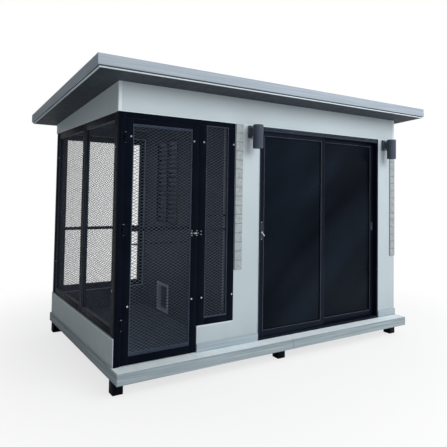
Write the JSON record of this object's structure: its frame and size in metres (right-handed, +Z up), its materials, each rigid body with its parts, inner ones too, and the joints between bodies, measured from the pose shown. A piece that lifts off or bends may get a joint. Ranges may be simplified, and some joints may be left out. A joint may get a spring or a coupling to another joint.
{
  "type": "walk-in kennel with wire run",
  "caption": "Walk-in animal house: wire-mesh run with hinged door beside a closed room with sliding glass doors, on a raised skid base under one sloping roof.",
  "frame": {"origin": "centre of the whole object's box at the underside of the foot pads", "axes": "+X to the right along the front wall, +Y from the front towards the rear, +Z up"},
  "size_m": [3.895, 2.329, 2.6127],
  "materials": {
    "wall_panel": "smooth light grey-blue coated sheet on sandwich panels",
    "fascia_board": "fine horizontal wood-grain emboss, satin coat",
    "plinth_board": "horizontal wood-grain emboss, satin coat",
    "deck_board": "pale sealed board, matt",
    "skirting": "satin grey-blue",
    "tile": "split-face grey tile, matt",
    "black_steel": "fine-texture black powder coat",
    "black_mesh": "black powder coat on expanded metal",
    "base_steel": "black chassis paint",
    "soffit": "smooth dark grey",
    "roof_sheet": "coated ribbed steel sheet",
    "roof_steel": "primed steel",
    "dark_aluminium": "dark anodised, satin",
    "tinted_glass": "dark tinted, polished",
    "bright_steel": "satin bright",
    "lamp_body": "anthracite powder coat",
    "lamp_lens": "opal",
    "roller": "moulded nylon",
    "rubber": "matt, moulded or extruded",
    "pet_frame": "moulded light grey",
    "flap": "dark translucent sheet"
  },
  "bodies": {
    "root": {"feet": "base_steel", "foot_pads": "rubber", "skid_frame": "base_steel", "floor_deck": "deck_board", "plinth_boards": "plinth_board", "header_front": "wall_panel", "header_left": "wall_panel", "header_rear": "wall_panel", "kerb_left": "wall_panel", "kerb_rear": "wall_panel", "kerb_front": "wall_panel", "pier_left": "wall_panel", "pier_right": "wall_panel", "wall_right": "wall_panel", "wall_rear": "wall_panel", "partition": "wall_panel", "skirting_boards": "skirting", "tile_strips": "tile", "roof_frame": "roof_steel", "roof_sheet": "roof_sheet", "fascia_boards": "fascia_board", "soffit_board": "soffit", "run_posts": "black_steel", "front_head": "black_steel", "side_panel_frames": "black_steel", "side_mesh": "black_mesh", "rear_panel_frame": "black_steel", "rear_mesh": "black_mesh", "front_panel_frame": "black_steel", "front_mesh": "black_mesh", "hinge_leaves_post": "black_steel", "hinge_pins": "bright_steel", "latch_keeper": "black_steel", "frame_screws": "bright_steel", "slider_frame": "dark_aluminium", "louvre_frame": "dark_aluminium", "louvre_blades": "dark_aluminium", "pet_door_frame": "pet_frame", "lamp_bases": "lamp_body", "lamp_housings": "lamp_body", "lamp_lenses": "lamp_lens"},
    "mesh_door": {"door_frame": "black_steel", "door_mesh": "black_mesh", "hinge_leaves_door": "black_steel", "latch_base": "black_steel", "door_screws": "bright_steel"},
    "door_bolt": {"latch_bolt": "bright_steel"},
    "left_sash": {"sash_left": "dark_aluminium", "glass_left": "tinted_glass", "lock_plate": "black_steel"},
    "lock_lever": {"thumb_turn": "bright_steel"},
    "right_sash": {"sash_right": "dark_aluminium", "glass_right": "tinted_glass", "sash_pull": "bright_steel"},
    "pet_flap": {"pet_flap": "flap"},
    "roller_left_1": {"roller_left_1": "roller"},
    "roller_left_2": {"roller_left_2": "roller"},
    "roller_right_1": {"roller_right_1": "roller"},
    "roller_right_2": {"roller_right_2": "roller"}
  },
  "joints": [
    {"name": "mesh_door_swing", "type": "hinge", "parent": "root", "child": "mesh_door", "pos_m": [-1.6195, -0.9026, 1.293], "axis": [0, 0, -1], "range_deg": [0, 110]},
    {"name": "latch_bolt_slide", "type": "slide", "parent": "mesh_door", "child": "door_bolt", "axis": [1, 0, 0], "range_m": [0, 0.026]},
    {"name": "left_sash_slide", "type": "slide", "parent": "root", "child": "left_sash", "axis": [1, 0, 0], "range_m": [0, 0.8]},
    {"name": "right_sash_slide", "type": "slide", "parent": "root", "child": "right_sash", "axis": [-1, 0, 0], "range_m": [0, 0.8]},
    {"name": "lock_lever_turn", "type": "hinge", "parent": "left_sash", "child": "lock_lever", "pos_m": [-0.2105, -0.8886, 1.228], "axis": [0, 1, 0], "range_deg": [-50, 40]},
    {"name": "pet_flap_swing", "type": "hinge", "parent": "root", "child": "pet_flap", "pos_m": [-0.57, 0.4229, 0.515], "axis": [0, 1, 0], "range_deg": [-60, 60]},
    {"name": "roller_left_1_spin", "type": "hinge", "parent": "left_sash", "child": "roller_left_1", "pos_m": [-0.1405, -0.8676, 0.2423], "axis": [0, 1, 0], "range_deg": [0, 3825]},
    {"name": "roller_left_2_spin", "type": "hinge", "parent": "left_sash", "child": "roller_left_2", "pos_m": [0.5405, -0.8676, 0.2423], "axis": [0, 1, 0], "range_deg": [0, 3825]},
    {"name": "roller_right_1_spin", "type": "hinge", "parent": "right_sash", "child": "roller_right_1", "pos_m": [0.6795, -0.8256, 0.2423], "axis": [0, -1, 0], "range_deg": [0, 3825]},
    {"name": "roller_right_2_spin", "type": "hinge", "parent": "right_sash", "child": "roller_right_2", "pos_m": [1.3605, -0.8256, 0.2423], "axis": [0, -1, 0], "range_deg": [0, 3825]}
  ],
  "couplings": [
    {"joint": "roller_left_1_spin", "follows": "left_sash_slide", "rad_per_m": 83.333},
    {"joint": "roller_left_2_spin", "follows": "left_sash_slide", "rad_per_m": 83.333},
    {"joint": "roller_right_1_spin", "follows": "right_sash_slide", "rad_per_m": 83.333},
    {"joint": "roller_right_2_spin", "follows": "right_sash_slide", "rad_per_m": 83.333}
  ]
}
